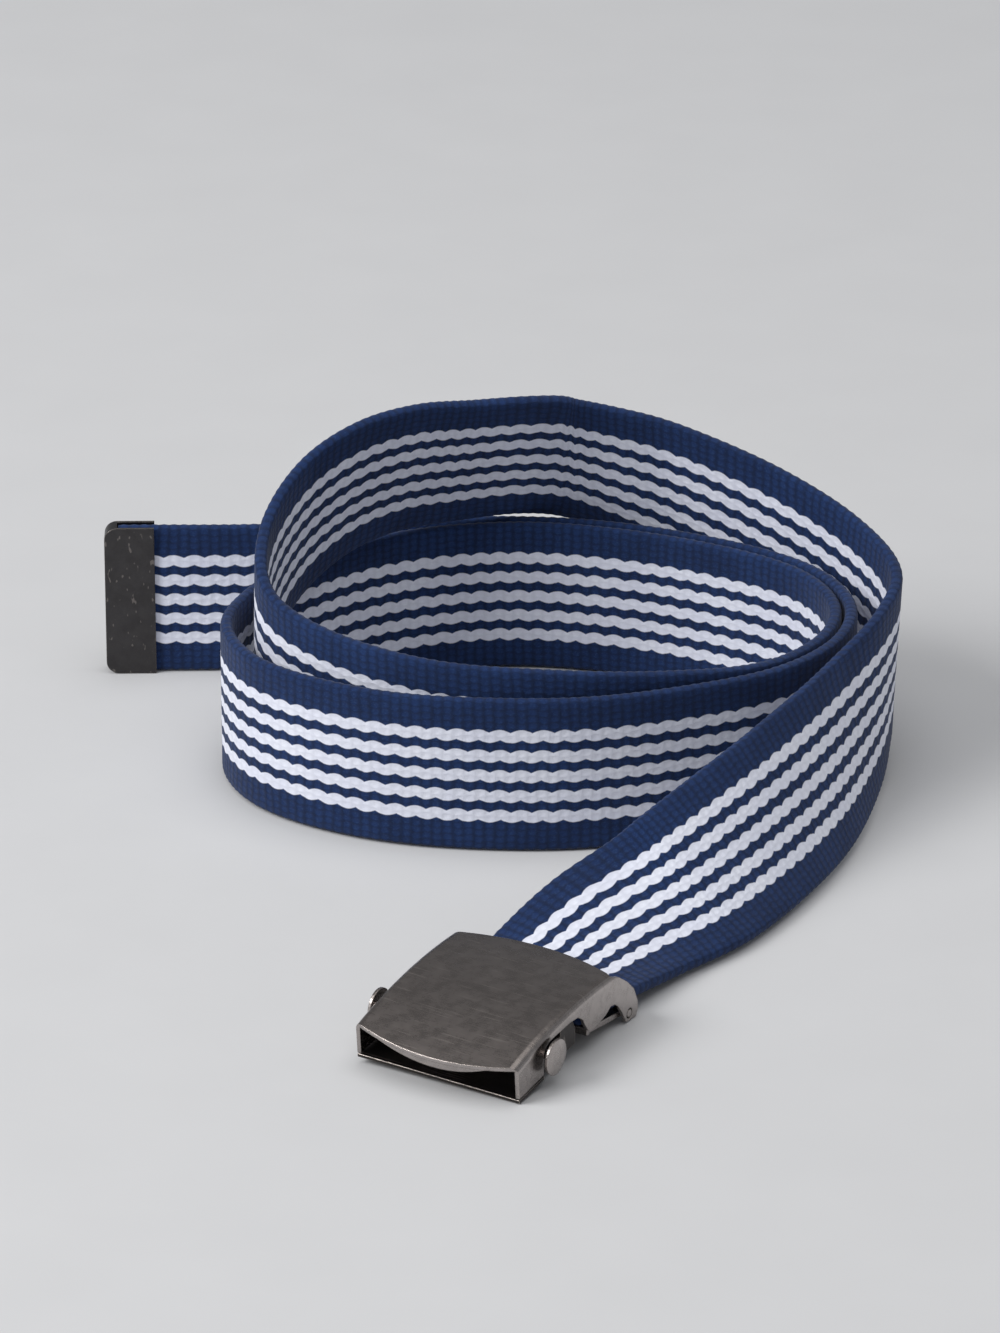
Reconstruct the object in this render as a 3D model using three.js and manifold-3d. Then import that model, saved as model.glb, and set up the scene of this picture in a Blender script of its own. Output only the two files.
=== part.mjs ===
// Webbing belt with a sliding plate buckle, coiled and lying on a flat surface.
// Millimetres, +Z up, origin on the surface under the middle of the whole belt.
import * as THREE from "three";
import { mergeVertices } from "three/addons/utils/BufferGeometryUtils.js";
import Module from "manifold-3d";

const wasm = await Module();
wasm.setup();
const { Manifold, Mesh: SolidMesh } = wasm;

// Webbing
const webbing_width = 30;
const webbing_thickness = 2.4;
const webbing_edge_round = 0.8;
const webbing_sections = 210;
const ply_gap = 0.6;
const webbing_clearance = 0.35;

// The coil, measured to the middle of its inner loop
const coil_half_across = 62;
const coil_half_deep = 45;

// Straight run from the coil to the buckle, and the free tail behind the coil
const run_across = 71;
const run_out = 98.5;
const tail_length = 72.6;
const tail_deep = 46;

// Buckle place and attitude, at the middle of the face's front edge
const buckle_across = -10.8;
const buckle_out = -135.2;
const buckle_height = 7.8;
const buckle_turn = -30.7;
const buckle_pitch = 7.6;
const buckle_roll = 1.9;

// Buckle sheet metal
const sheet = 0.7;
const fit = 0.3;
const side_clearance = 0.3;
const inner_width = webbing_width + 2 * side_clearance;
const outer_width = inner_width + 2 * sheet;
const face_length = 32;
const face_rise = 1.3;
const front_bow = 3.2;
const rear_bow = 3.6;
const mouth_height = 6.3;
const front_leg = 8.3;
const arch_height = 1.1;
const front_arch_end = 0.7 * face_length;
const tab_depth = 6.6;
const rear_arch_end = face_length + 3.9;
const lug_length = 8;
const lug_depth = 12.2;
const lip_depth = 2.4;
const lip_length = 21;
const arc_steps = 16;
const bend_radius = 1.4;
const bend_steps = 5;

// Clamp lever under the webbing, hung from the rear lugs
const pivot_back = face_length + 5.4;
const pivot_down = 10.7;
const pivot_radius = 0.7;
const pivot_hole_radius = pivot_radius + fit;
const lever_length = 13;
const lever_sheet = 1.0;
const lever_width = inner_width - 0.8;
const lever_slope = 14.5;
const tooth_pitch = 2.2;
const tooth_height = 0.45;

// Locking roller in its sloping slots
const roller_back = front_leg + 1.5;
const roller_down = 3.0;
const roller_radius = 1.8;
const neck_radius = 0.8;
const neck_gap = 1.3;
const head_radius = 3.25;
const head_thickness = 0.9;
const head_dome = 0.4;
const slot_travel = 5;
const slot_slope = 3.5;
const roller_sides = 28;

// Base plate
const base_length = roller_back + slot_travel + 5.6;
const base_step = front_leg + 0.7;
const ear_height = 5.6;
const base_sheet = 0.6;

// End tip
const tip_grip = 6.8;
const tip_fold = 2.4;
const tip_sheet = 0.5;
const tip_inset = 0.1;
const tip_corner = 2.4;

const degree = Math.PI / 180;

// Every joining and cutting goes through these four functions
function toSolid(geometry) {
  const bare = geometry.index ? geometry.toNonIndexed() : geometry.clone();
  bare.deleteAttribute("normal");
  bare.deleteAttribute("uv");
  const merged = mergeVertices(bare, 1e-4);
  return new Manifold(new SolidMesh({
    numProp: 3,
    vertProperties: new Float32Array(merged.attributes.position.array),
    triVerts: new Uint32Array(merged.index.array),
  }));
}

function toGeometry(solid) {
  const mesh = solid.getMesh();
  const geometry = new THREE.BufferGeometry();
  geometry.setAttribute("position", new THREE.BufferAttribute(new Float32Array(mesh.vertProperties), 3));
  geometry.setIndex(new THREE.BufferAttribute(new Uint32Array(mesh.triVerts), 1));
  geometry.computeVertexNormals();
  return geometry;
}

function join(...geometries) {
  return toGeometry(geometries.map(toSolid).reduce((whole, piece) => whole.add(piece)));
}

function cut(geometry, ...tools) {
  return toGeometry(tools.map(toSolid).reduce((whole, tool) => whole.subtract(tool), toSolid(geometry)));
}

// A plate whose outline lies in the buckle's side plane (back, up) with its thickness across
function sidePlate(shape, across_from, across_to) {
  const plate = new THREE.ExtrudeGeometry(shape, { depth: across_to - across_from, bevelEnabled: false });
  const place = new THREE.Matrix4().set(0, 0, 1, across_from, 1, 0, 0, 0, 0, 1, 0, 0, 0, 0, 0, 1);
  plate.applyMatrix4(place);
  return plate;
}

function outline(points) {
  return new THREE.Shape(points.map(([x, y]) => new THREE.Vector2(x, y)));
}

function crossRod(radius, length, back, up, sides) {
  const rod = new THREE.CylinderGeometry(radius, radius, length, sides);
  rod.rotateZ(Math.PI / 2);
  rod.translate(0, back, up);
  return rod;
}

function block(across, back_from, back_to, up_from, up_to) {
  const box = new THREE.BoxGeometry(across, back_to - back_from, up_to - up_from);
  box.translate(0, (back_from + back_to) / 2, (up_from + up_to) / 2);
  return box;
}

// Height of the arched face's outer skin at a distance behind its front corners
function faceHeight(back) {
  const share = (2 * back) / face_length - 1;
  return face_rise * (1 - share * share);
}

// The face seen from the side: one arched strip, run on past both bowed ends
function faceStrip() {
  const upper = [];
  const lower = [];
  for (let step = 0; step <= arc_steps; step += 1) {
    const back = -front_bow + ((face_length + front_bow + rear_bow) * step) / arc_steps;
    upper.push([back, faceHeight(back)]);
    lower.unshift([back, faceHeight(back) - sheet]);
  }
  return sidePlate(outline([...upper, ...lower]), -outer_width / 2, outer_width / 2);
}

// The face seen from above: straight sides and two bowed ends
function facePlan() {
  const points = [];
  for (let step = 0; step <= arc_steps; step += 1) {
    const share = (2 * step) / arc_steps - 1;
    points.push([(outer_width / 2) * share, -front_bow * (1 - share * share)]);
  }
  for (let step = 0; step <= arc_steps; step += 1) {
    const share = 1 - (2 * step) / arc_steps;
    points.push([(outer_width / 2) * share, face_length + rear_bow * (1 - share * share)]);
  }
  const plan = new THREE.ExtrudeGeometry(outline(points), { depth: 2 * face_length, bevelEnabled: false });
  plan.translate(0, 0, -face_length);
  return plan;
}

// One flange of the frame: front leg, two arches with a tab between them, and the rear lug
function flange(side) {
  const top = [];
  for (let step = 0; step <= arc_steps; step += 1) {
    const back = (face_length * step) / arc_steps;
    top.push([back, faceHeight(back) - sheet / 2]);
  }
  const lug = [
    [face_length + 0.28 * lug_length, -0.12 * lug_depth],
    [face_length + 0.62 * lug_length, -0.32 * lug_depth],
    [face_length + 0.9 * lug_length, -0.54 * lug_depth],
    [face_length + 1.05 * lug_length, -0.8 * lug_depth],
    [face_length + 1.04 * lug_length, -0.94 * lug_depth],
    [face_length + 0.94 * lug_length, -1.02 * lug_depth],
    [face_length + 0.74 * lug_length, -lug_depth],
    [rear_arch_end + 0.3, -0.97 * lug_depth],
  ];
  const arches = [
    [rear_arch_end, -0.9 * lug_depth],
    [rear_arch_end - 0.8, -0.76 * lug_depth],
    [rear_arch_end - 2.1, -0.59 * lug_depth],
    [rear_arch_end - 3.4, -0.5 * lug_depth],
    [rear_arch_end - 4.7, -0.47 * lug_depth],
    [rear_arch_end - 6.4, -0.53 * lug_depth],
    [rear_arch_end - 9.4, -1.04 * tab_depth],
    [front_arch_end + 2.2, -1.04 * tab_depth],
    [front_arch_end + 1.2, -0.95 * tab_depth],
    [front_arch_end + 0.2, -0.7 * tab_depth],
    [front_arch_end - 0.5, -0.46 * tab_depth],
    [front_arch_end - 2.2, -arch_height - 0.5],
    [front_arch_end - 4.8, -arch_height],
    [front_leg + 2.3, -arch_height + 0.3],
    [front_leg + 0.6, -arch_height - 0.3],
    [front_leg, -arch_height - 2.6],
    [front_leg, -mouth_height],
    [0, -mouth_height],
  ];
  const inner = (side * inner_width) / 2;
  const outer = (side * outer_width) / 2;
  const side_outline = outline([...top, ...lug, ...arches].reverse());
  return sidePlate(side_outline, Math.min(inner, outer), Math.max(inner, outer));
}

// The crescent lip turned down from the front edge
function lip() {
  const half = lip_length / 2;
  const points = [];
  for (let step = 0; step <= arc_steps; step += 1) {
    const share = (2 * step) / arc_steps - 1;
    points.push([half * share, -lip_depth * (1 - share * share) - 0.02]);
  }
  points.push([half, sheet]);
  points.push([-half, sheet]);
  const crescent = new THREE.ExtrudeGeometry(outline(points), { depth: 2 * sheet, bevelEnabled: false });
  crescent.rotateX(Math.PI / 2);
  const bow_at_end = front_bow * (1 - (lip_length / outer_width) ** 2);
  crescent.translate(0, -bow_at_end + 2 * sheet, faceHeight(-bow_at_end) - sheet);
  return crescent;
}

// A long envelope that follows the arched face and rounds both bends into the flanges
function bendEnvelope() {
  const positions = [];
  const faces = [];
  const half = outer_width / 2;
  const corner = half - bend_radius;
  const count = 2 * (bend_steps + 2);
  for (let step = 0; step <= arc_steps; step += 1) {
    const back = -front_bow - 1 + ((face_length + 2 * lug_length + front_bow) * step) / arc_steps;
    const top = faceHeight(Math.min(back, face_length + rear_bow)) + 0.001;
    positions.push(half, back, -2 * lug_depth);
    for (let turn = 0; turn <= bend_steps; turn += 1) {
      const angle = (90 * turn * degree) / bend_steps;
      const up = top - bend_radius + bend_radius * Math.sin(angle);
      positions.push(corner + bend_radius * Math.cos(angle), back, up);
    }
    for (let turn = bend_steps; turn >= 0; turn -= 1) {
      const angle = (90 * turn * degree) / bend_steps;
      const up = top - bend_radius + bend_radius * Math.sin(angle);
      positions.push(-corner - bend_radius * Math.cos(angle), back, up);
    }
    positions.push(-half, back, -2 * lug_depth);
  }
  for (let step = 0; step < arc_steps; step += 1) {
    for (let index = 0; index < count; index += 1) {
      const next = (index + 1) % count;
      const a = step * count + index;
      const b = step * count + next;
      faces.push(a, a + count, b, b, a + count, b + count);
    }
  }
  const last = arc_steps * count;
  for (let index = 1; index + 1 < count; index += 1) {
    faces.push(0, index, index + 1);
    faces.push(last, last + index + 1, last + index);
  }
  const geometry = new THREE.BufferGeometry();
  geometry.setAttribute("position", new THREE.Float32BufferAttribute(positions, 3));
  geometry.setIndex(faces);
  return geometry;
}

function buckleFrame() {
  const face = toGeometry(toSolid(faceStrip()).intersect(toSolid(facePlan())));
  const body = join(face, flange(-1), flange(1), lip());
  const rounded = toGeometry(toSolid(body).intersect(toSolid(bendEnvelope())));
  return cut(rounded, crossRod(pivot_hole_radius, outer_width + 2, pivot_back, -pivot_down, 16));
}

// Slot centre line, from the roller's resting place up and back
function slotPoint(share) {
  const along = slot_travel * share;
  return [
    roller_back + along * Math.cos(slot_slope * degree),
    -roller_down + along * Math.sin(slot_slope * degree),
  ];
}

function slotCutter() {
  const radius = neck_radius + fit;
  const steps = 8;
  const points = [];
  for (let step = 0; step <= steps; step += 1) {
    const angle = (slot_slope + 90 + (180 * step) / steps) * degree;
    const [back, up] = slotPoint(0);
    points.push([back + radius * Math.cos(angle), up + radius * Math.sin(angle)]);
  }
  for (let step = 0; step <= steps; step += 1) {
    const angle = (slot_slope - 90 + (180 * step) / steps) * degree;
    const [back, up] = slotPoint(1);
    points.push([back + radius * Math.cos(angle), up + radius * Math.sin(angle)]);
  }
  return sidePlate(outline(points), -outer_width, outer_width);
}

// Base plate: full width under the front legs, then narrower with two slotted ears
function basePlate() {
  const top = -mouth_height - fit;
  const narrow = inner_width - 2 * fit;
  const front = block(outer_width, 0, front_leg, top - base_sheet, top);
  const rear = block(narrow, front_leg - base_sheet, base_length, top - base_sheet, top);
  const ear_outline = outline([
    [base_step, top - base_sheet],
    [base_length, top - base_sheet],
    [base_length + 0.4, top + 0.4 * ear_height],
    [base_length - 0.6, top + 0.85 * ear_height],
    [base_length - 1.6, top + ear_height],
    [base_step - 1.4, top + ear_height],
    [base_step - 1.4, top - base_sheet],
  ]);
  const left = sidePlate(ear_outline, -narrow / 2, -narrow / 2 + base_sheet);
  const right = sidePlate(ear_outline, narrow / 2 - base_sheet, narrow / 2);
  return cut(join(front, rear, left, right), slotCutter());
}

// Locking roller: a plain drum, two necks through the slots and two domed heads
function lockingRoller() {
  const drum_half = inner_width / 2 - fit - base_sheet - fit;
  const neck_end = outer_width / 2 + neck_gap;
  const profile = [
    [0, -neck_end - head_thickness],
    [0.6 * head_radius, -neck_end - head_thickness + 0.25 * head_dome],
    [head_radius, -neck_end - head_thickness + head_dome],
    [head_radius, -neck_end],
    [neck_radius, -neck_end],
    [neck_radius, -drum_half],
    [roller_radius, -drum_half],
  ];
  const mirrored = profile.map(([radius, along]) => [radius, -along]).reverse();
  const points = [...profile, ...mirrored].map(([radius, along]) => new THREE.Vector2(radius, along));
  const roller = new THREE.LatheGeometry(points, roller_sides);
  roller.rotateZ(-Math.PI / 2);
  roller.translate(0, roller_back, -roller_down);
  return toGeometry(toSolid(roller));
}

// Clamp lever: a toothed plate on a pin, drawn about the pin and then hung at the lugs
function clampLever() {
  const pin = crossRod(pivot_radius, outer_width, 0, 0, 16);
  const blade = block(lever_width, -lever_length, 0.2, -lever_sheet / 2, lever_sheet / 2);
  const hook_end = -lever_length + lever_sheet;
  const hook = block(lever_width, -lever_length, hook_end, -0.8 * lever_sheet, lever_sheet / 2);
  let lever = join(blade, hook, pin);
  const teeth = [];
  const count = Math.floor((lever_width - tooth_pitch) / tooth_pitch);
  for (let index = 0; index < count; index += 1) {
    const tooth = new THREE.ConeGeometry(0.45 * tooth_pitch, tooth_height + 0.1, 4);
    tooth.rotateX(Math.PI / 2);
    const across = (index - (count - 1) / 2) * tooth_pitch;
    tooth.translate(across, -lever_length + 1.2, lever_sheet / 2 + tooth_height / 2 - 0.05);
    teeth.push(tooth);
  }
  lever = join(lever, ...teeth);
  lever.rotateX(-lever_slope * degree);
  lever.translate(0, pivot_back, -pivot_down);
  return lever;
}

// The buckle's own placement: turned about Z, then pitched about its width and rolled about its length
const buckle_place = new THREE.Matrix4()
  .makeTranslation(buckle_across, buckle_out, buckle_height)
  .multiply(new THREE.Matrix4().makeRotationZ(buckle_turn * degree))
  .multiply(new THREE.Matrix4().makeRotationX(buckle_pitch * degree))
  .multiply(new THREE.Matrix4().makeRotationY(buckle_roll * degree));

function buckleSection(back, down, lean) {
  const low_edge = new THREE.Vector3(webbing_width / 2, back, -down).applyMatrix4(buckle_place);
  return { x: low_edge.x, y: low_edge.y, z: low_edge.z, lean };
}

// The webbing's route, followed by its lower edge. Each row is one section:
// across and deep are shares of the coil's half sizes, or of the run's and the tail's,
// ply counts layers outwards, lift is a share of the webbing's width, and lean is the
// angle in degrees by which the upper edge tips towards the inside of the coil.
const run_rows = [
  { across: 0.455, deep: -0.95, lift: 0.018, lean: 69 },
  { across: 0.62, deep: -0.81, lift: 0.005, lean: 55 },
  { across: 0.78, deep: -0.605, lift: 0.003, lean: 40 },
  { across: 0.893, deep: -0.402, lift: 0.005, lean: 27 },
  { across: 0.962, deep: -0.21, lift: 0.035, lean: 14 },
  { across: 1, deep: -0.05, lift: 0.12, lean: 2 },
  { across: 1.005, deep: 0.1, lift: 0.215, lean: -4 },
];
const rising_rows = [
  { across: 1.03, deep: 0.56, ply: 0, lift: 0.333, lean: -5 },
  { across: 0.82, deep: 0.825, ply: 0, lift: 0.5, lean: -3 },
  { across: 0.57, deep: 1.045, ply: 0, lift: 0.683, lean: 4 },
  { across: 0.39, deep: 1.14, ply: 0, lift: 0.815, lean: 12 },
  { across: 0.22, deep: 1.172, ply: 0, lift: 0.948, lean: 20 },
  { across: 0.06, deep: 1.115, ply: 0, lift: 1.019, lean: 22 },
  { across: -0.16, deep: 1.03, ply: 0, lift: 1.014, lean: 20.5 },
  { across: -0.34, deep: 0.885, ply: 0, lift: 1.022, lean: 17.5 },
  { across: -0.5, deep: 0.69, ply: 0, lift: 0.955, lean: 12 },
  { across: -0.635, deep: 0.45, ply: 0, lift: 0.785, lean: 6 },
  { across: -0.708, deep: 0.12, ply: 0, lift: 0.56, lean: 1.5 },
  { across: -0.694, deep: -0.245, ply: 0, lift: 0.367, lean: 1 },
  { across: -0.516, deep: -0.522, ply: 0, lift: 0.26, lean: 0 },
];
const front_rows = [
  { across: -0.194, deep: -0.745, ply: 0, lift: 0.187, lean: 0 },
  { across: 0.177, deep: -0.775, ply: 0, lift: 0.14, lean: 0 },
  { across: 0.5, deep: -0.667, ply: 0, lift: 0.067, lean: 0 },
  { across: 0.774, deep: -0.478, ply: 0, lift: 0.01, lean: 0 },
];
const loop_rows = [
  { across: 0.952, deep: -0.178, ply: 0, lift: 0, lean: 0 },
  { across: 1, deep: 0.178, ply: 0, lift: 0, lean: 0 },
  { across: 0.903, deep: 0.522, ply: 0, lift: 0, lean: 0 },
  { across: 0.661, deep: 0.789, ply: 0, lift: 0, lean: 0 },
  { across: 0.339, deep: 0.984, ply: 0, lift: 0, lean: 0 },
  { across: 0, deep: 1.051, ply: 0, lift: 0, lean: 0 },
];
const left_rows = [
  { across: -0.339, deep: 0.922, ply: 0, lift: 0, lean: 0 },
  { across: -0.613, deep: 0.611, ply: 0, lift: 0, lean: 0 },
  { across: -0.765, deep: 0.267, ply: 0, lift: 0, lean: 0 },
  { across: -0.812, deep: -0.067, ply: 0, lift: 0, lean: 0 },
  { across: -0.716, deep: -0.411, ply: 0, lift: 0, lean: 0 },
  { across: -0.495, deep: -0.665, ply: 0, lift: 0, lean: 0 },
];
const tail_rows = [
  { along: 0.32, deep: 1.057, lift: 0, lean: 0 },
  { along: 0.66, deep: 1, lift: 0, lean: 0 },
  { along: 1, deep: 0.989, lift: 0, lean: 0 },
];

function coilSection(row, extra_ply) {
  const x = row.across * coil_half_across;
  const y = row.deep * coil_half_deep;
  const outward = new THREE.Vector2(x / coil_half_across ** 2, y / coil_half_deep ** 2).normalize();
  const offset = (row.ply + extra_ply) * (webbing_thickness + ply_gap);
  const z = row.lift * webbing_width;
  return { x: x + outward.x * offset, y: y + outward.y * offset, z, lean: row.lean };
}

function runSection(row) {
  const tipped = (webbing_thickness / 2) * Math.sin(Math.abs(row.lean) * degree);
  const z = row.lift * webbing_width + tipped;
  return { x: row.across * run_across, y: row.deep * run_out, z, lean: row.lean };
}

function tailSection(row) {
  const z = row.lift * webbing_width;
  return { x: -row.along * tail_length, y: row.deep * tail_deep, z, lean: row.lean };
}

const outer_rows = [...front_rows, ...loop_rows].map((row) => ({ ...row, lift: 0 }));
const lever_tip_rise = lever_length * Math.sin(lever_slope * degree) + lever_sheet / 2 + tooth_height;
const webbing_bottom = webbing_thickness / 2 + webbing_clearance;
const route = [
  buckleSection(0.75 * face_length, pivot_down - lever_tip_rise - webbing_bottom - fit, 90 - buckle_roll),
  buckleSection(pivot_back + 1.2, pivot_down - pivot_radius - webbing_bottom, 88 - buckle_roll),
  ...run_rows.map(runSection),
  ...[...rising_rows, ...front_rows, ...loop_rows, ...left_rows].map((row) => coilSection(row, 0)),
  ...outer_rows.map((row) => coilSection(row, 1)),
  ...tail_rows.map(tailSection),
];

// A smooth curve through the route, stepped evenly along its length
function smoothRoute() {
  const stations = route.map((row) => new THREE.Vector3(row.x, row.y, row.z));
  const tilts = route.map((row) => new THREE.Vector3(row.lean, 0, 0));
  const places = new THREE.CatmullRomCurve3(stations, false, "catmullrom", 0.5);
  const leans = new THREE.CatmullRomCurve3(tilts, false, "catmullrom", 0.5);
  places.arcLengthDivisions = 4000;
  const sections = [];
  for (let step = 0; step <= webbing_sections; step += 1) {
    const parameter = places.getUtoTmapping(step / webbing_sections);
    const heading = places.getTangent(parameter);
    const inward = new THREE.Vector3(-heading.y, heading.x, 0).normalize();
    const lean = leans.getPoint(parameter).x * degree;
    const rise = inward.clone().multiplyScalar(Math.sin(lean));
    rise.z = Math.cos(lean);
    const through = rise.clone().cross(heading).normalize();
    sections.push({ low: places.getPoint(parameter), rise, through, heading });
  }
  return sections;
}

// Points of the webbing's flat oblong section, as [share up the width, distance through]
function sectionRing() {
  const half = webbing_thickness / 2;
  const round = webbing_edge_round;
  return [
    [round, -half],
    [webbing_width - round, -half],
    [webbing_width, -half + round],
    [webbing_width, half - round],
    [webbing_width - round, half],
    [round, half],
    [0, half - round],
    [0, -half + round],
  ];
}

function sweep(sections, ring) {
  const positions = [];
  const faces = [];
  for (const section of sections) {
    for (const [up, through] of ring) {
      const point = section.low.clone().addScaledVector(section.rise, up);
      point.addScaledVector(section.through, through);
      positions.push(point.x, point.y, point.z);
    }
  }
  const count = ring.length;
  for (let step = 0; step + 1 < sections.length; step += 1) {
    for (let index = 0; index < count; index += 1) {
      const next = (index + 1) % count;
      const a = step * count + index;
      const b = step * count + next;
      faces.push(a, a + count, b, b, a + count, b + count);
    }
  }
  const last = (sections.length - 1) * count;
  for (let index = 1; index + 1 < count; index += 1) {
    faces.push(0, index, index + 1);
    faces.push(last, last + index + 1, last + index);
  }
  const geometry = new THREE.BufferGeometry();
  geometry.setAttribute("position", new THREE.Float32BufferAttribute(positions, 3));
  geometry.setIndex(faces);
  geometry.computeVertexNormals();
  return geometry;
}

const sections = smoothRoute();

// End tip: one plate folded round the webbing's free end, open along both edges
function endTip() {
  const inner_half = webbing_thickness / 2 + fit;
  const outer_half = inner_half + tip_sheet;
  const low = tip_inset;
  const high = webbing_width - tip_inset;
  const length = tip_grip + fit + tip_fold;
  const shape = new THREE.Shape();
  shape.moveTo(0, low);
  shape.lineTo(length - tip_corner, low);
  shape.absarc(length - tip_corner, low + tip_corner, tip_corner, -Math.PI / 2, 0, false);
  shape.absarc(length - tip_corner, high - tip_corner, tip_corner, 0, Math.PI / 2, false);
  shape.lineTo(0, high);
  const settings = { depth: 2 * outer_half, bevelEnabled: false, curveSegments: 6 };
  const cap = new THREE.ExtrudeGeometry(shape, settings);
  cap.translate(0, 0, -outer_half);
  const pocket = new THREE.BoxGeometry(tip_grip + fit + 2, webbing_width + 2, 2 * inner_half);
  pocket.translate((tip_grip + fit) / 2 - 1, webbing_width / 2, 0);
  const end = sections[sections.length - 1];
  const frame = new THREE.Matrix4().makeBasis(end.heading, end.rise, end.heading.clone().cross(end.rise));
  frame.setPosition(end.low.clone().addScaledVector(end.heading, -tip_grip));
  const tip = cut(cap, pocket);
  tip.applyMatrix4(frame);
  return tip;
}

function material(color, roughness, metalness) {
  return new THREE.MeshStandardMaterial({ color, roughness, metalness });
}

function named(name, geometry, finish) {
  const mesh = new THREE.Mesh(geometry, finish);
  mesh.name = name;
  return mesh;
}

const cotton = material(0x2d4878, 0.9, 0);
const gunmetal = material(0x54504e, 0.38, 0.85);

const buckle = new THREE.Group();
buckle.applyMatrix4(buckle_place);
buckle.add(named("buckle_frame", buckleFrame(), gunmetal));
buckle.add(named("base_plate", basePlate(), gunmetal));
buckle.add(named("locking_roller", lockingRoller(), gunmetal));
buckle.add(named("clamp_lever", clampLever(), gunmetal));

const belt = new THREE.Group();
belt.add(named("webbing_strap", sweep(sections, sectionRing()), cotton));
belt.add(named("end_tip", endTip(), gunmetal));
belt.add(buckle);

// The origin is put on the surface, under the middle of the whole belt
const bounds = new THREE.Box3().setFromObject(belt, true);
const middle = bounds.getCenter(new THREE.Vector3());
belt.position.set(-middle.x, -middle.y, -bounds.min.z);

export default belt;
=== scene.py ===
"""Coiled canvas web belt with a sliding plate buckle and a folded end tip, lying on a pale floor."""

import math

import bpy
import numpy as np
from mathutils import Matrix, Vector


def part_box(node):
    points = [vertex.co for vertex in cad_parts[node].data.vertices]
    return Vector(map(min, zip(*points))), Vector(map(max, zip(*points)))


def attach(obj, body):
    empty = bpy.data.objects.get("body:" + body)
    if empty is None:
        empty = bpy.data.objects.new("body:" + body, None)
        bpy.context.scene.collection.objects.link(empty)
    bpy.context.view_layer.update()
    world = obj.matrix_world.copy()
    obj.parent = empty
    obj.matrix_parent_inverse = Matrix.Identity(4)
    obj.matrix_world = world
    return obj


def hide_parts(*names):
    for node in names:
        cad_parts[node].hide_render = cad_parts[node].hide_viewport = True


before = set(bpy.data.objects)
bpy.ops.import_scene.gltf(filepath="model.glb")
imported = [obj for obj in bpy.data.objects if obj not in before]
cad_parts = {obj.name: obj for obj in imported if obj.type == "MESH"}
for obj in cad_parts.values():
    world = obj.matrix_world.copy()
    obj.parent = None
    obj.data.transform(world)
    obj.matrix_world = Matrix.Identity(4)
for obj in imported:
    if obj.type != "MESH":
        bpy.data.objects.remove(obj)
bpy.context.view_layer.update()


def as_lists(box):
    """A box's lowest and highest corners as plain lists of numbers."""
    return [[float(value) for value in corner] for corner in box]


MM = 0.001

# Webbing sizes, in millimetres
WEBBING_WIDTH = 30.0
WEBBING_THICKNESS = 2.4
EDGE_ROUND = 1.15
PLY_GAP = 0.6
FLOOR_CLEARANCE = 0.02

# How far the ribs press in on the faces, how much more at the edges, and the edges' band, in millimetres
RIB_PRESS = 0.04
EDGE_PRESS = 0.1
EDGE_BAND = 1.6

# How far the edges are drawn in, in millimetres, and the sines that vary it: depth, length and start
EDGE_NARROWING = 0.16
EDGE_WANDER = [
    (0.07, 17.0, 0.6),
    (0.05, 6.3, 2.1),
]

# Steps along the webbing, and cells across each face and round each edge
WEBBING_STEPS = 1820
FACE_CELLS = 18
EDGE_CELLS = 7
ROUTE_STEPS = 24001
HEADING_STEP = 1e-4

# Route sizes, in millimetres, measured from the middle of the coil's inner loop
COIL_HALF_ACROSS = 62.0
COIL_HALF_DEEP = 45.0
RUN_ACROSS = 71.0
RUN_OUT = 98.5
TAIL_LENGTH = 72.6
TAIL_DEEP = 46.0
BUCKLE_PLACE = (-10.8, -135.2, 7.8)
BUCKLE_TURN, BUCKLE_PITCH, BUCKLE_ROLL = -30.7, 7.6, 1.9

# Weave sizes, in millimetres
WARP_ROW = 1.31
FLOAT_LENGTH = 3.8
STRIPE_SWING = 0.28
STRIPE_SOFTNESS = 0.11
THREAD_SHIFT = 0.16

# The stripes: how many, their spacing in warp rows, and half a stripe's width in warp rows
STRIPES = 5
STRIPE_ROWS = 3
HALF_STRIPE_ROWS = 0.79

# The photograph's camera: metres from the look point, degrees above the floor, and its long lens in pixels
CAMERA_DISTANCE = 1.4
CAMERA_RISE = 23
LENS_PIXELS = 7563
PICTURE_HEIGHT_PIXELS = 1333
SENSOR_HEIGHT = 24.0
LOOK_HEIGHT = 20.0

# The two lights: name, place in metres, size in metres and power in watts
LIGHTS = [
    ("key", (-1.3, -0.5, 1.15), 1.0, 24.0),
    ("overhead", (0.2, -0.1, 2.2), 2.0, 19.0),
]

# Metal showing where the plating is rubbed through, which along the edges also stands as painted highlight
BARE_METAL_AND_EDGE_HIGHLIGHT = (0.62, 0.55, 0.5, 1)

# Each finish: tone of the sides and tone of the upward faces, a painted reflection that makes the sides
# lighter than the upward faces where the two differ, roughness, wear at the edges, which also paints
# highlights along them, and edge radius in millimetres
FINISHES_WITH_PAINTED_LIGHT = {
    "gunmetal": ((0.4, 0.365, 0.35, 1), (0.215, 0.19, 0.177, 1), 0.28, 0.6, 0.3),
    "dark_gunmetal": ((0.066, 0.063, 0.064, 1), (0.066, 0.063, 0.064, 1), 0.4, 0.3, 0.3),
    # painted shade: the base plate sits recessed under the frame, so it is painted dark all over as though
    # in shade, and its heavy edge wear gives bright lines that also stand as painted highlights
    "painted_shade_gunmetal": ((0.07, 0.064, 0.062, 1), (0.07, 0.064, 0.062, 1), 0.4, 0.9, 0.25),
}
FINISH_OF_NODE = {
    "buckle_frame": "gunmetal",
    "base_plate": "painted_shade_gunmetal",
    "locking_roller": "gunmetal",
    "clamp_lever": "gunmetal",
    "end_tip": "dark_gunmetal",
}

# The webbing's two stations inside the buckle: back and down in millimetres, and lean in degrees
BUCKLE_ROWS = [
    (24, 4.6, 90),
    (38.6, 8.45, 88),
]

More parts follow.
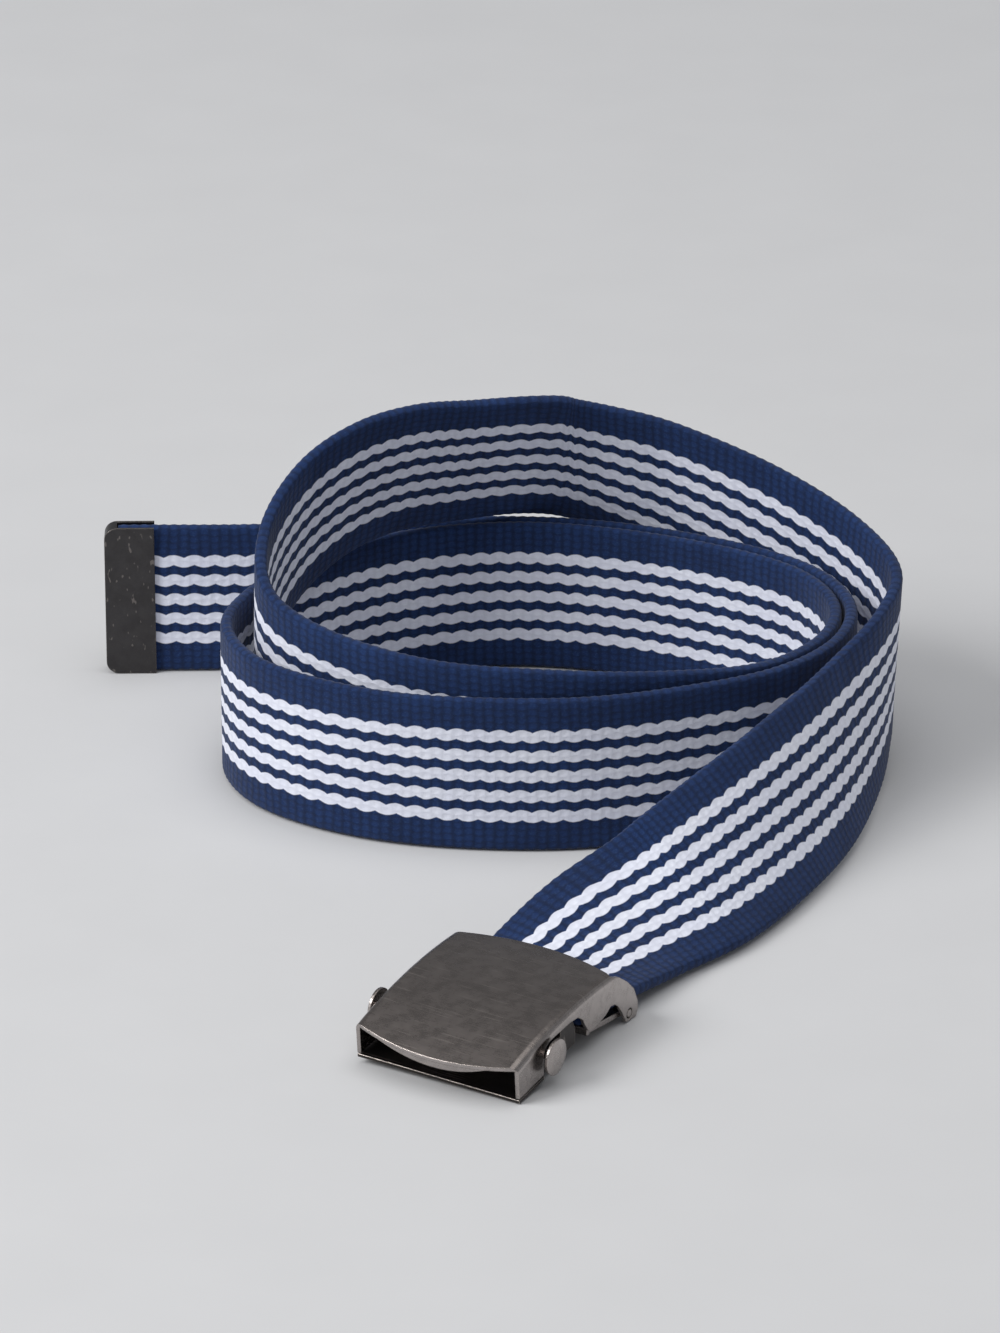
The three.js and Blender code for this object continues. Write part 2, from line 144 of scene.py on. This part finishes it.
# Each row is across or along, deep, lift and lean, as shares of the sizes above and degrees
RUN_ROWS = [
    (0.455, -0.95, 0.018, 69),
    (0.62, -0.81, 0.005, 55),
    (0.78, -0.605, 0.003, 40),
    (0.893, -0.402, 0.005, 27),
    (0.962, -0.21, 0.035, 14),
    (1, -0.05, 0.12, 2),
    (1.005, 0.1, 0.215, -4),
]
RISING_ROWS = [
    (1.03, 0.56, 0.333, -5),
    (0.82, 0.825, 0.5, -3),
    (0.57, 1.045, 0.683, 4),
    (0.39, 1.14, 0.815, 12),
    (0.22, 1.172, 0.948, 20),
    (0.06, 1.115, 1.019, 22),
    (-0.16, 1.03, 1.014, 20.5),
    (-0.34, 0.885, 1.022, 17.5),
    (-0.5, 0.69, 0.955, 12),
    (-0.635, 0.45, 0.785, 6),
    (-0.708, 0.12, 0.56, 1.5),
    (-0.694, -0.245, 0.367, 1),
    (-0.516, -0.522, 0.26, 0),
]
FRONT_ROWS = [
    (-0.194, -0.745, 0.187, 0),
    (0.177, -0.775, 0.14, 0),
    (0.5, -0.667, 0.067, 0),
    (0.774, -0.478, 0.01, 0),
]
LOOP_ROWS = [
    (0.952, -0.178, 0, 0),
    (1, 0.178, 0, 0),
    (0.903, 0.522, 0, 0),
    (0.661, 0.789, 0, 0),
    (0.339, 0.984, 0, 0),
    (0, 1.051, 0, 0),
]
LEFT_ROWS = [
    (-0.339, 0.922, 0, 0),
    (-0.613, 0.611, 0, 0),
    (-0.765, 0.267, 0, 0),
    (-0.812, -0.067, 0, 0),
    (-0.716, -0.411, 0, 0),
    (-0.495, -0.665, 0, 0),
]
TAIL_ROWS = [
    (0.32, 1.057, 0, 0),
    (0.66, 1, 0, 0),
    (1, 0.989, 0, 0),
]


def turn(angle, axis):
    """A turn by an angle in degrees about X, Y or Z, as a three by three array."""
    c, s = math.cos(math.radians(angle)), math.sin(math.radians(angle))
    i, j = {"X": (1, 2), "Y": (2, 0), "Z": (0, 1)}[axis]
    result = np.eye(3)
    result[i, i], result[i, j], result[j, i], result[j, j] = c, -s, s, c
    return result


BUCKLE_AXES = turn(BUCKLE_TURN, "Z") @ turn(BUCKLE_PITCH, "X") @ turn(BUCKLE_ROLL, "Y")


def buckle_stations(rows):
    """The webbing's lower edge inside the buckle: places in the buckle's own axes, turned and moved
    with it."""
    stations = []
    for back, down, lean in rows:
        place = BUCKLE_AXES @ np.array([WEBBING_WIDTH / 2, back, -down]) + np.array(BUCKLE_PLACE)
        stations.append([*place, lean - BUCKLE_ROLL])
    return np.array(stations)


def run_stations(rows):
    """Shares of the run's sizes, lifted by half the webbing's thickness times the sine of its lean."""
    table = np.array(rows, float)
    lift = table[:, 2] * WEBBING_WIDTH + WEBBING_THICKNESS / 2 * np.sin(np.abs(np.radians(table[:, 3])))
    return np.column_stack([table[:, 0] * RUN_ACROSS, table[:, 1] * RUN_OUT, lift, table[:, 3]])


def coil_stations(rows, ply, lifted=True):
    """Shares of the coil's half sizes, moved outwards along the oval's normal by whole plies. Rows that
    aren't lifted lie on the floor."""
    table = np.array(rows, float)
    x, y = table[:, 0] * COIL_HALF_ACROSS, table[:, 1] * COIL_HALF_DEEP
    outward = np.column_stack([x / COIL_HALF_ACROSS**2, y / COIL_HALF_DEEP**2])
    outward /= np.linalg.norm(outward, axis=1)[:, None]
    offset = ply * (WEBBING_THICKNESS + PLY_GAP)
    lift = table[:, 2] * WEBBING_WIDTH if lifted else np.zeros(len(rows))
    return np.column_stack([x + outward[:, 0] * offset, y + outward[:, 1] * offset, lift, table[:, 3]])


def tail_stations(rows):
    """Shares of the tail's length to the left, and of its depth behind the coil's middle."""
    table = np.array(rows, float)
    return np.column_stack([-table[:, 0] * TAIL_LENGTH, table[:, 1] * TAIL_DEEP, table[:, 2], table[:, 3]])


ROUTE = np.vstack([
    buckle_stations(BUCKLE_ROWS),
    run_stations(RUN_ROWS),
    coil_stations(RISING_ROWS + FRONT_ROWS + LOOP_ROWS + LEFT_ROWS, 0),
    coil_stations(FRONT_ROWS + LOOP_ROWS, 1, lifted=False),
    tail_stations(TAIL_ROWS),
])


def smooth_curve(stations, parameters):
    """Uniform Catmull-Rom: each span is the cubic through its two stations whose slope at a station is
    half the step between that station's neighbours. The ends are run on straight."""
    padded = np.vstack([2 * stations[0] - stations[1], stations, 2 * stations[-1] - stations[-2]])
    spans = len(stations) - 1
    position = np.clip(parameters * spans, 0, spans - 1e-9)
    index = position.astype(int)
    t = (position - index)[:, None]
    p0, p1, p2, p3 = (padded[index + step] for step in range(4))
    linear = (p2 - p0) / 2
    square = p0 - 2.5 * p1 + 2 * p2 - p3 / 2
    cube = (p3 - p0) / 2 + 1.5 * (p1 - p2)
    return p1 + linear * t + square * t**2 + cube * t**3


def webbing_path(steps):
    """Even steps along the route: place of the lower edge, direction up the width, direction through the
    cloth, and distance along. The width tips from upright by the lean towards the left of the heading."""
    fine = np.linspace(0, 1, ROUTE_STEPS)
    places = smooth_curve(ROUTE, fine)
    lengths = np.concatenate([[0], np.cumsum(np.linalg.norm(np.diff(places[:, :3], axis=0), axis=1))])
    along = np.linspace(0, lengths[-1], steps)
    parameter = np.interp(along, lengths, fine)
    rows = smooth_curve(ROUTE, parameter)
    ahead = smooth_curve(ROUTE, np.clip(parameter + HEADING_STEP, 0, 1))[:, :3]
    behind = smooth_curve(ROUTE, np.clip(parameter - HEADING_STEP, 0, 1))[:, :3]
    heading = ahead - behind
    heading /= np.linalg.norm(heading, axis=1)[:, None]
    inward = np.column_stack([-heading[:, 1], heading[:, 0], np.zeros(steps)])
    inward /= np.linalg.norm(inward, axis=1)[:, None]
    lean = np.radians(rows[:, 3])[:, None]
    rise = inward * np.sin(lean) + np.array([0, 0, 1.0]) * np.cos(lean)
    through = np.cross(rise, heading)
    through /= np.linalg.norm(through, axis=1)[:, None]
    return rows[:, :3], rise, through, along


def webbing_section(face_cells, edge_cells):
    """The webbing cut across: two flat faces joined by two half ovals. Gives the height up the width, the
    distance through, and an unrolled coordinate that runs out over each edge and back."""
    half = WEBBING_THICKNESS / 2
    face = np.linspace(EDGE_ROUND, WEBBING_WIDTH - EDGE_ROUND, face_cells + 1)
    angle = np.linspace(np.pi / 2, -np.pi / 2, edge_cells + 1)[1:-1]
    top = np.column_stack([WEBBING_WIDTH - EDGE_ROUND + EDGE_ROUND * np.cos(angle), half * np.sin(angle)])
    low = np.column_stack([EDGE_ROUND - EDGE_ROUND * np.cos(angle), -half * np.sin(angle)])
    front = np.column_stack([face, np.full_like(face, half)])
    back = np.column_stack([face[::-1], np.full_like(face, -half)])
    ring = np.vstack([front, top, back, low])
    arc = (np.pi / 2 - np.abs(angle)) * EDGE_ROUND
    unrolled = np.concatenate([face, WEBBING_WIDTH - EDGE_ROUND + arc, face[::-1], EDGE_ROUND - arc])
    return ring[:, 0], ring[:, 1], unrolled


def new_piece(name, points, faces, corner_uv=None):
    """A mesh object at the origin, in metres, from whole arrays of points and four-cornered faces."""
    mesh = bpy.data.meshes.new(name)
    corners = np.asarray(faces, np.int32)
    mesh.vertices.add(len(points))
    mesh.vertices.foreach_set("co", np.asarray(points, np.float32).ravel())
    mesh.loops.add(corners.size)
    mesh.loops.foreach_set("vertex_index", corners.ravel())
    mesh.polygons.add(len(corners))
    mesh.polygons.foreach_set("loop_start", np.arange(0, corners.size, corners.shape[1], dtype=np.int32))
    mesh.update(calc_edges=True)
    if corner_uv is not None:
        layer = mesh.uv_layers.new(name="UVMap")
        layer.data.foreach_set("uv", np.asarray(corner_uv, np.float32).ravel())
    mesh.shade_smooth()
    mesh.validate()
    piece = bpy.data.objects.new(name, mesh)
    bpy.context.scene.collection.objects.link(piece)
    return piece


def tube_faces(steps, count):
    """Four-cornered faces of a closed ring of points carried along a path, pointing outwards."""
    step, index = np.meshgrid(np.arange(steps - 1), np.arange(count), indexing="ij")
    near = step * count + index
    after = step * count + (index + 1) % count
    return np.stack([near, near + count, after + count, after], axis=-1).reshape(-1, 4)


def end_faces(count, edge_points):
    """A flat end's faces: each point of the ring is paired with the one straight across the thickness."""
    first = np.arange(-edge_points // 2, (count - edge_points) // 2 - 1)
    partner = count - edge_points - 1
    strip = np.stack([first, first + 1, partner - first - 1, partner - first], axis=-1)
    return strip % count


def webbing_piece():
    """The webbing's section carried along its route. The weave's ribs press in as a raised cosine of the
    distance along, most at the edges, and two slow sines make the edges wander a little inwards. Gives the
    piece, its length in metres, and where the coil's middle is in the frame, in millimetres."""
    low, rise, through, along = webbing_path(WEBBING_STEPS)
    up, out, unrolled = webbing_section(FACE_CELLS, EDGE_CELLS)
    edge = np.clip(1 - np.minimum(unrolled, WEBBING_WIDTH - unrolled) / EDGE_BAND, 0, 1)
    rib = (0.5 - 0.5 * np.cos(4 * np.pi * along / FLOAT_LENGTH))[:, None]
    press = (RIB_PRESS + EDGE_PRESS * edge)[None, :]
    toward_edge = (up - np.clip(up, EDGE_ROUND, WEBBING_WIDTH - EDGE_ROUND)) / EDGE_ROUND
    toward_face = out / (WEBBING_THICKNESS / 2)
    wander = np.full_like(along, EDGE_NARROWING)
    for depth, length, start in EDGE_WANDER:
        wander += depth * np.sin(along / length + start)
    narrowing = wander[:, None] * np.abs(toward_edge)[None, :]
    height = up[None, :] - toward_edge[None, :] * (press * rib + narrowing)
    distance = out[None, :] - toward_face[None, :] * press * rib
    points = low[:, None, :] + rise[:, None, :] * height[..., None]
    points = points + through[:, None, :] * distance[..., None]
    count = len(up)
    ends = end_faces(count, EDGE_CELLS - 1)
    last_ring = (WEBBING_STEPS - 1) * count
    faces = np.vstack([tube_faces(WEBBING_STEPS, count), ends, ends[:, ::-1] + last_ring])
    uv = np.stack(np.broadcast_arrays(unrolled[None, :], along[:, None]), axis=-1).reshape(-1, 2) * MM
    flat_points = points.reshape(-1, 3)
    cad_low, cad_high = (np.array(corner) / MM for corner in as_lists(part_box("webbing_strap")))
    own_low, own_high = flat_points.min(axis=0), flat_points.max(axis=0)
    shift = (cad_low + cad_high) / 2 - (own_low + own_high) / 2
    shift[2] = cad_low[2] + FLOOR_CLEARANCE
    piece = new_piece("woven_webbing", (flat_points + shift) * MM, faces, uv[faces])
    return piece, along[-1] * MM, shift


class Nodes:
    """Adds nodes to one tree and joins them: a value is a number, a tuple or another node's socket."""

    def __init__(self, tree):
        self.tree = tree

    def add(self, kind, inputs=(), **settings):
        """A new node with its settings made and its named inputs fed."""
        node = self.tree.nodes.new(kind)
        for name, value in settings.items():
            setattr(node, name, value)
        for name, value in dict(inputs).items():
            self.feed(node.inputs[name], value)
        return node

    def feed(self, socket, value):
        """Joins another node's socket to this one, or sets its constant."""
        if isinstance(value, bpy.types.NodeSocket):
            self.tree.links.new(value, socket)
        else:
            socket.default_value = value

    def math(self, operation, *values, clamp=False):
        """One sum, product or function of its values."""
        node = self.add("ShaderNodeMath", operation=operation, use_clamp=clamp)
        for socket, value in zip(node.inputs, values):
            self.feed(socket, value)
        return node.outputs[0]

    def ease(self, value, from_low, from_high, to_low=0.0, to_high=1.0):
        """Carries a value smoothly from one range to another, held at its ends."""
        inputs = {
            "Value": value,
            "From Min": from_low,
            "From Max": from_high,
            "To Min": to_low,
            "To Max": to_high,
        }
        return self.add("ShaderNodeMapRange", inputs, interpolation_type="SMOOTHSTEP").outputs["Result"]

    def blend(self, share, first, second, blend_type="MIX"):
        """A colour between two colours. The mix node keeps its colours at inputs 6 and 7 and output 2."""
        node = self.add("ShaderNodeMix", data_type="RGBA", blend_type=blend_type)
        self.feed(node.inputs[0], share)
        self.feed(node.inputs[6], first)
        self.feed(node.inputs[7], second)
        return node.outputs[2]

    def noise(self, place, scale, detail=2.0, roughness=0.5):
        """Soft noise from 0 to 1 at a place."""
        inputs = {"Vector": place, "Scale": scale, "Detail": detail, "Roughness": roughness}
        return self.add("ShaderNodeTexNoise", inputs).outputs["Fac"]

    def vector(self, x, y, z=0.0):
        """Three values as one vector."""
        return self.add("ShaderNodeCombineXYZ", {"X": x, "Y": y, "Z": z}).outputs[0]


def new_group(name, inputs, outputs):
    """A shader node group with named sockets: (name, socket type, default) for each input."""
    tree = bpy.data.node_groups.new(name, "ShaderNodeTree")
    for label, kind, default in inputs:
        socket = tree.interface.new_socket(name=label, in_out="INPUT", socket_type=kind)
        socket.default_value = default
    for label, kind in outputs:
        tree.interface.new_socket(name=label, in_out="OUTPUT", socket_type=kind)
    nodes = Nodes(tree)
    return tree, nodes, nodes.add("NodeGroupInput").outputs, nodes.add("NodeGroupOutput").inputs


def weave_group():
    """Columns of weft ribs half a float apart, crossed by fine warp rows that step up and down from one
    column to the next. A stripe's upper edge follows the arches of a cosine and its lower edge those of a
    sine, half an arch along, so that the stripe winds like a rope while its width hardly changes."""
    tree, nodes, given, result = new_group(
        "webbing_weave",
        [
            ("Across", "NodeSocketFloat", 0.0),
            ("Along", "NodeSocketFloat", 0.0),
            ("Row Width", "NodeSocketFloat", WARP_ROW),
            ("Float Length", "NodeSocketFloat", FLOAT_LENGTH),
            ("Swing", "NodeSocketFloat", STRIPE_SWING),
            ("Irregular", "NodeSocketFloat", THREAD_SHIFT),
        ],
        [
            ("Height", "NodeSocketFloat"),
            ("White", "NodeSocketFloat"),
            ("Painted Crevice Shade", "NodeSocketFloat"),
            ("Fibre", "NodeSocketFloat"),
        ],
    )
    place = nodes.vector(given["Across"], given["Along"])
    uneven = nodes.math("SUBTRACT", nodes.noise(place, 1.1, 2.0), 0.5)
    slow = nodes.math("SUBTRACT", nodes.noise(place, 0.11, 1.0), 0.5)
    centred = nodes.math("SUBTRACT", given["Across"], WEBBING_WIDTH / 2)
    centred = nodes.math("MULTIPLY_ADD", uneven, given["Irregular"], centred)
    turns = nodes.math("DIVIDE", given["Along"], given["Float Length"])
    turns = nodes.math("MULTIPLY_ADD", slow, 0.3, turns)
    turns = nodes.math("MULTIPLY_ADD", uneven, 0.06, turns)
    half_turn = nodes.math("MULTIPLY", turns, math.pi)
    rising = nodes.math("ABSOLUTE", nodes.math("COSINE", half_turn))
    falling = nodes.math("ABSOLUTE", nodes.math("SINE", half_turn))
    upper = nodes.math("MULTIPLY", nodes.math("MULTIPLY_ADD", rising, 2.0, -1.15), given["Swing"])
    lower = nodes.math("MULTIPLY", nodes.math("MULTIPLY_ADD", falling, -2.0, 1.15), given["Swing"])
    pitch = nodes.math("MULTIPLY", given["Row Width"], float(STRIPE_ROWS))
    stripe = nodes.math("DIVIDE", centred, pitch)
    number = nodes.math("ROUND", stripe)
    inside = nodes.math("LESS_THAN", nodes.math("ABSOLUTE", number), STRIPES / 2)
    from_middle = nodes.math("MULTIPLY", nodes.math("SUBTRACT", stripe, number), pitch)
    half_stripe = nodes.math("MULTIPLY", given["Row Width"], HALF_STRIPE_ROWS)
    above = nodes.math("SUBTRACT", nodes.math("SUBTRACT", from_middle, upper), half_stripe)
    below = nodes.math("SUBTRACT", nodes.math("SUBTRACT", lower, from_middle), half_stripe)
    under_top = nodes.ease(above, -STRIPE_SOFTNESS, STRIPE_SOFTNESS, 1.0, 0.0)
    over_bottom = nodes.ease(below, -STRIPE_SOFTNESS, STRIPE_SOFTNESS, 1.0, 0.0)
    white = nodes.math("MULTIPLY", nodes.math("MULTIPLY", under_top, over_bottom), inside)
    column_turn = nodes.math("MULTIPLY", turns, 4 * math.pi)
    in_column = nodes.math("MULTIPLY", nodes.math("COSINE", column_turn), 0.5)
    column = nodes.math("POWER", nodes.math("ADD", in_column, 0.5), 0.8)
    step = nodes.math("COSINE", nodes.math("MULTIPLY", turns, 2 * math.pi))
    stepped = nodes.math("MULTIPLY_ADD", step, 0.13, nodes.math("DIVIDE", centred, given["Row Width"]))
    row = nodes.math("ABSOLUTE", nodes.math("SINE", nodes.math("MULTIPLY", stepped, math.pi)))
    ribbed = nodes.math("MULTIPLY_ADD", column, 0.74, 0.26)
    crown = nodes.math("MULTIPLY", ribbed, nodes.math("MULTIPLY_ADD", row, 0.6, 0.4))
    height = nodes.math("MULTIPLY_ADD", crown, 0.8, nodes.math("MULTIPLY", uneven, 0.5))
    strands = nodes.vector(
        nodes.math("MULTIPLY", given["Across"], 4.0),
        nodes.math("MULTIPLY", given["Along"], 2.2),
    )
    fibre = nodes.noise(strands, 1.0, 4.0, 0.65)
    nodes.feed(result["Height"], height)
    nodes.feed(result["White"], white)
    # painted shade: strongest where the weave lies lowest
    nodes.feed(result["Painted Crevice Shade"], nodes.ease(height, 0.0, 0.7, 1.0, 0.0))
    nodes.feed(result["Fibre"], fibre)
    return tree


def worn_metal_group():
    """Brushed plating: long thin noise for the brushing, soft blotches, a few scratches, and an edge mask
    where the plating has rubbed through to a paler, warmer metal that also paints highlights along the
    edges."""
    tree, nodes, given, result = new_group(
        "worn_plating",
        [
            ("Place", "NodeSocketVector", (0.0, 0.0, 0.0)),
            ("Edge", "NodeSocketFloat", 0.0),
            ("Wear And Edge Highlight", "NodeSocketFloat", 0.6),
            ("Plating", "NodeSocketColor", (0.1, 0.095, 0.092, 1)),
            ("Bare Metal And Edge Highlight", "NodeSocketColor", (0.5, 0.45, 0.41, 1)),
            ("Base Roughness", "NodeSocketFloat", 0.36),
        ],
        [("Color", "NodeSocketColor"), ("Roughness", "NodeSocketFloat"), ("Height", "NodeSocketFloat")],
    )
    split = nodes.add("ShaderNodeSeparateXYZ", {"Vector": given["Place"]}).outputs
    drawn = nodes.vector(
        nodes.math("MULTIPLY", split["X"], 0.16),
        nodes.math("MULTIPLY", split["Y"], 5.0),
        nodes.math("MULTIPLY", split["Z"], 5.0),
    )
    brushing = nodes.noise(drawn, 1.0, 4.0, 0.65)
    blotch = nodes.noise(given["Place"], 0.35, 3.0, 0.6)
    grain = nodes.noise(given["Place"], 3.0, 3.0, 0.7)
    slanted = nodes.add("ShaderNodeMapping", {
        "Vector": given["Place"], "Rotation": (0.3, 0.4, 0.9), "Scale": (0.12, 2.4, 0.6),
    })
    scratch = nodes.ease(nodes.noise(slanted.outputs[0], 1.0, 1.0), 0.66, 0.72)
    ragged = nodes.math("MULTIPLY", given["Edge"], nodes.ease(grain, 0.3, 0.62, 0.25, 1.0))
    worn_and_highlighted = nodes.math("MULTIPLY", ragged, given["Wear And Edge Highlight"], clamp=True)
    bare_and_highlighted = nodes.math("MAXIMUM", worn_and_highlighted, nodes.math("MULTIPLY", scratch, 0.22), clamp=True)
    tone = nodes.ease(blotch, 0.25, 0.75, 0.88, 1.12)
    tone = nodes.math("MULTIPLY", tone, nodes.ease(brushing, 0.2, 0.8, 0.95, 1.06))
    toned = nodes.blend(1.0, given["Plating"], nodes.vector(tone, tone, tone), "MULTIPLY")
    rough = nodes.math("MULTIPLY_ADD", nodes.math("SUBTRACT", brushing, 0.5), 0.1, given["Base Roughness"])
    rough = nodes.math("MULTIPLY_ADD", nodes.math("SUBTRACT", blotch, 0.5), 0.15, rough)
    # the edges rubbed through to paler bare metal are also painted highlights
    nodes.feed(result["Color"], nodes.blend(bare_and_highlighted, toned, given["Bare Metal And Edge Highlight"]))
    nodes.feed(result["Roughness"], nodes.math("MULTIPLY_ADD", worn_and_highlighted, -0.1, rough, clamp=True))
    nodes.feed(result["Height"], nodes.math("MULTIPLY_ADD", scratch, -0.5, brushing))
    return tree


def new_material(name):
    """A material with one Principled shader, its nodes' helper and the shader's inputs."""
    material = bpy.data.materials.new(name)
    material.use_nodes = True
    material.node_tree.nodes.clear()
    nodes = Nodes(material.node_tree)
    output = nodes.add("ShaderNodeOutputMaterial")
    shader = nodes.add("ShaderNodeBsdfPrincipled")
    nodes.feed(output.inputs["Surface"], shader.outputs[0])
    return material, nodes, shader.inputs


def cotton_material(group):
    """Navy and white cotton, read from the webbing's own UV map: across and along in metres."""
    material, nodes, shader = new_material("striped_cotton")
    unrolled = nodes.add("ShaderNodeUVMap", uv_map="UVMap").outputs[0]
    split = nodes.add("ShaderNodeSeparateXYZ", {"Vector": unrolled}).outputs
    across = nodes.math("MULTIPLY", split["X"], 1 / MM)
    along = nodes.math("MULTIPLY", split["Y"], 1 / MM)
    weave = nodes.add("ShaderNodeGroup", node_tree=group)
    nodes.feed(weave.inputs["Across"], across)
    nodes.feed(weave.inputs["Along"], along)
    made = weave.outputs
    soil = nodes.noise(nodes.vector(across, along), 0.09, 3.0, 0.6)
    navy = nodes.blend(nodes.ease(soil, 0.3, 0.7), (0.006, 0.022, 0.088, 1), (0.01, 0.032, 0.118, 1))
    navy = nodes.blend(nodes.ease(made["Fibre"], 0.45, 0.75, 0.0, 0.4), navy, (0.045, 0.095, 0.21, 1))
    white = nodes.blend(nodes.ease(soil, 0.3, 0.7), (0.8, 0.82, 0.94, 1), (0.88, 0.9, 0.99, 1))
    white = nodes.blend(nodes.ease(made["Fibre"], 0.3, 0.7, 0.2, 0.0), white, (0.6, 0.63, 0.74, 1))
    cloth = nodes.blend(made["White"], navy, white)
    # painted shade in the weave's crevices: low places are blended towards these darker tones
    painted_pit_shade = nodes.blend(made["White"], (0.0025, 0.007, 0.024, 1), (0.7, 0.72, 0.82, 1))
    cloth = nodes.blend(nodes.math("MULTIPLY", made["Painted Crevice Shade"], 0.62), cloth, painted_pit_shade)
    relief = nodes.math("MULTIPLY_ADD", made["Fibre"], 0.25, made["Height"])
    bump = nodes.add("ShaderNodeBump", {"Height": relief, "Strength": 0.7, "Distance": 0.2 * MM})
    nodes.feed(shader["Base Color"], cloth)
    nodes.feed(shader["Roughness"], nodes.ease(made["Fibre"], 0.2, 0.8, 0.86, 0.98))
    nodes.feed(shader["Normal"], bump.outputs[0])
    shader["Sheen Weight"].default_value = 0.1
    shader["Sheen Roughness"].default_value = 0.5
    shader["Specular IOR Level"].default_value = 0.25
    return material


def plated_material(group, name, painted_reflection_side_tone, painted_reflection_top_tone, roughness, wear_and_edge_highlight, edge_radius):
    """Plating with a painted reflection: a tone for its sides and one for the faces that are upward in the
    piece's own axes, the sides painted lighter as though they mirrored the bright floor and the upward
    faces darker as though they mirrored the dim space above, where the two tones differ.
    Edges are found by the angle between the true normal and the rounded one."""
    material, nodes, shader = new_material(name)
    place = nodes.add("ShaderNodeTexCoord").outputs["Object"]
    turned = nodes.add("ShaderNodeMapping", {
        "Vector": place,
        "Rotation": (0.0, 0.0, math.radians(-BUCKLE_TURN)),
        "Scale": (1 / MM, 1 / MM, 1 / MM),
    }).outputs[0]
    rounded = nodes.add("ShaderNodeBevel", {"Radius": edge_radius * MM}, samples=6).outputs[0]
    true_normal = nodes.add("ShaderNodeNewGeometry").outputs["Normal"]
    angle = nodes.add("ShaderNodeVectorMath", operation="DOT_PRODUCT")
    nodes.feed(angle.inputs[0], rounded)
    nodes.feed(angle.inputs[1], true_normal)
    edge = nodes.ease(angle.outputs["Value"], 0.97, 0.78)
    own_normal = nodes.add(
        "ShaderNodeVectorTransform", {"Vector": true_normal},
        vector_type="NORMAL", convert_from="WORLD", convert_to="OBJECT",
    ).outputs[0]
    upward = nodes.add("ShaderNodeSeparateXYZ", {"Vector": own_normal}).outputs["Z"]
    # painted reflection: the upward faces take the darker top tone and the sides the lighter side tone
    toned = nodes.blend(nodes.ease(upward, 0.5, 0.93), painted_reflection_side_tone, painted_reflection_top_tone)
    plate = nodes.add("ShaderNodeGroup", node_tree=group)
    for label, value in {
        "Place": turned,
        "Edge": edge,
        "Wear And Edge Highlight": wear_and_edge_highlight,
        "Plating": toned,
        "Bare Metal And Edge Highlight": BARE_METAL_AND_EDGE_HIGHLIGHT,
        "Base Roughness": roughness,
    }.items():
        nodes.feed(plate.inputs[label], value)
    bump = nodes.add("ShaderNodeBump", {
        "Height": plate.outputs["Height"], "Strength": 0.12, "Distance": 0.02 * MM, "Normal": rounded,
    })
    nodes.feed(shader["Base Color"], plate.outputs["Color"])
    nodes.feed(shader["Roughness"], plate.outputs["Roughness"])
    nodes.feed(shader["Normal"], bump.outputs[0])
    shader["Metallic"].default_value = 1.0
    return material


def floor_material():
    """Dull pale paper with a faint mottle."""
    material, nodes, shader = new_material("pale_paper")
    place = nodes.add("ShaderNodeTexCoord").outputs["Object"]
    mottle = nodes.noise(place, 40.0, 3.0)
    tone = nodes.blend(mottle, (0.6, 0.6, 0.605, 1), (0.63, 0.63, 0.635, 1))
    nodes.feed(shader["Base Color"], tone)
    shader["Roughness"].default_value = 0.9
    shader["Specular IOR Level"].default_value = 0.1
    return material


def studio(look):
    """A pale floor, a broad soft light high on the left, a broader one overhead and a pale surround."""
    bpy.ops.mesh.primitive_plane_add(size=12)
    floor = bpy.context.object
    floor.name = "floor"
    floor.data.materials.append(floor_material())
    for name, place, size, power in LIGHTS:
        lamp = bpy.data.lights.new(name, "AREA")
        lamp.size = size
        lamp.energy = power
        light = bpy.data.objects.new(name, lamp)
        light.location = place
        light.rotation_euler = (look - Vector(place)).to_track_quat("-Z", "Y").to_euler()
        bpy.context.scene.collection.objects.link(light)
    world = bpy.data.worlds.new("surround")
    world.use_nodes = True
    world.node_tree.nodes["Background"].inputs["Color"].default_value = (0.86, 0.88, 0.92, 1)
    world.node_tree.nodes["Background"].inputs["Strength"].default_value = 0.34
    bpy.context.scene.world = world
    bpy.context.scene.view_settings.view_transform = "Standard"


def photograph_camera(look):
    """A camera with a long lens that looks along +Y and down at the look point."""
    lens = bpy.data.cameras.new("camera")
    lens.sensor_fit = "VERTICAL"
    lens.sensor_height = SENSOR_HEIGHT
    lens.lens = SENSOR_HEIGHT * LENS_PIXELS / PICTURE_HEIGHT_PIXELS
    lens.clip_start = 0.05
    lens.clip_end = 50
    camera = bpy.data.objects.new("camera", lens)
    rise = math.radians(CAMERA_RISE)
    camera.location = look + CAMERA_DISTANCE * Vector((0, -math.cos(rise), math.sin(rise)))
    camera.rotation_euler = (math.pi / 2 - rise, 0, 0)
    bpy.context.scene.collection.objects.link(camera)
    bpy.context.scene.camera = camera


webbing, webbing_length, shift = webbing_piece()
look_point = Vector((shift[0], shift[1], LOOK_HEIGHT)) * MM
photograph_camera(look_point)
studio(look_point)

weave = weave_group()
webbing.data.materials.append(cotton_material(weave))
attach(webbing, "root")
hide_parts("webbing_strap")

plating = worn_metal_group()
materials = {name: plated_material(plating, name, *finish) for name, finish in FINISHES_WITH_PAINTED_LIGHT.items()}
for node, finish in FINISH_OF_NODE.items():
    piece = bpy.data.objects[node]
    piece.data.materials.clear()
    piece.data.materials.append(materials[finish])
